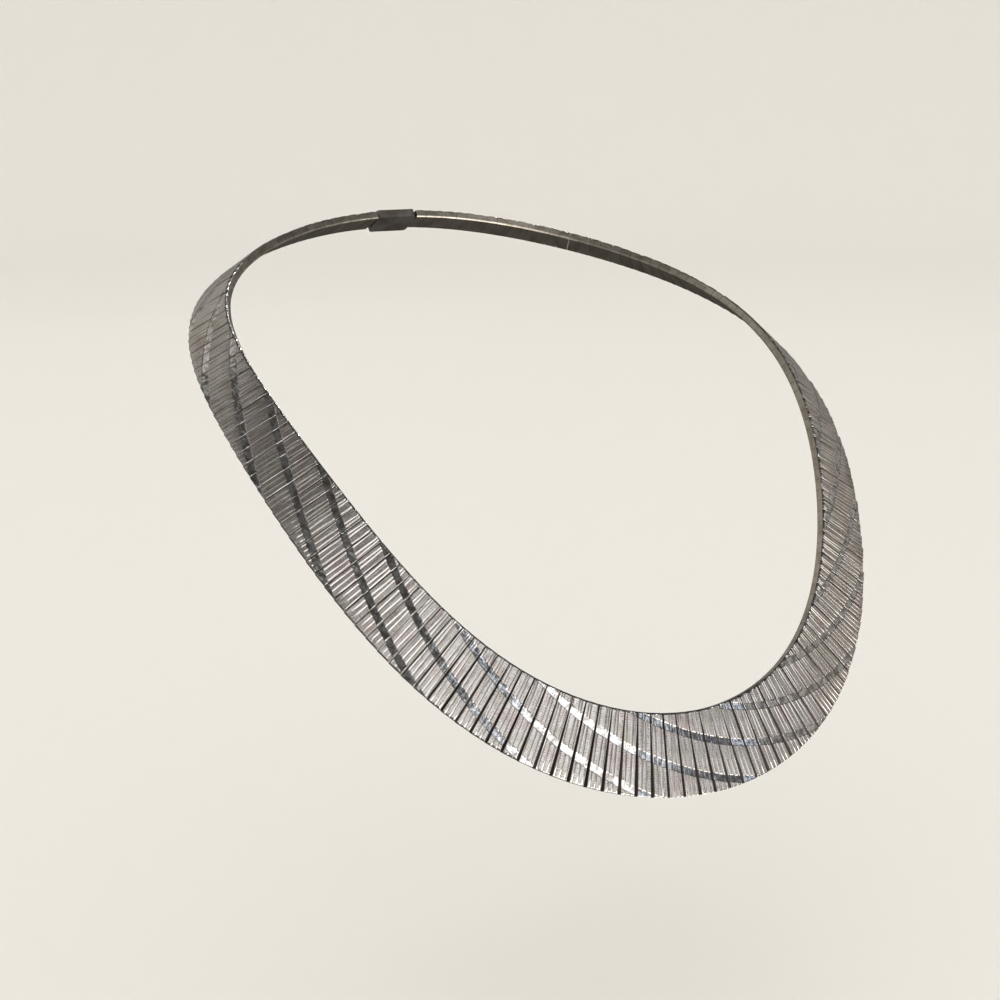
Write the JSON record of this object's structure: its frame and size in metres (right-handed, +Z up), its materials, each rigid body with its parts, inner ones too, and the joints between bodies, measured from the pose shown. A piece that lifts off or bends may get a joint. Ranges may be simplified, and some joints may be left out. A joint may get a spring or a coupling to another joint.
{
  "type": "fringe collar necklace",
  "caption": "Closed collar of narrow folded silver slats hinged side by side, longest in front and fanning open there, with diagonal burnished bands and a plain box clasp at the nape.",
  "frame": {"origin": "middle of the inner face of the nape clasp, where the necklace rests on the back of the neck", "axes": "+Z up, front of the necklace towards -Y, wearer's left towards +X, symmetric about X = 0"},
  "size_m": [0.1416, 0.1273, 0.0985],
  "materials": {
    "silver": "tarnished silver, engraved and brushed along each slat, with smooth burnished diagonal bands",
    "wire_silver": "drawn silver wire",
    "clasp_silver": "satin tarnished silver"
  },
  "bodies": {
    "root": {"slats_left": "silver", "slats_right": "silver", "hinge_wire": "wire_silver", "clasp": "clasp_silver"}
  },
  "joints": []
}
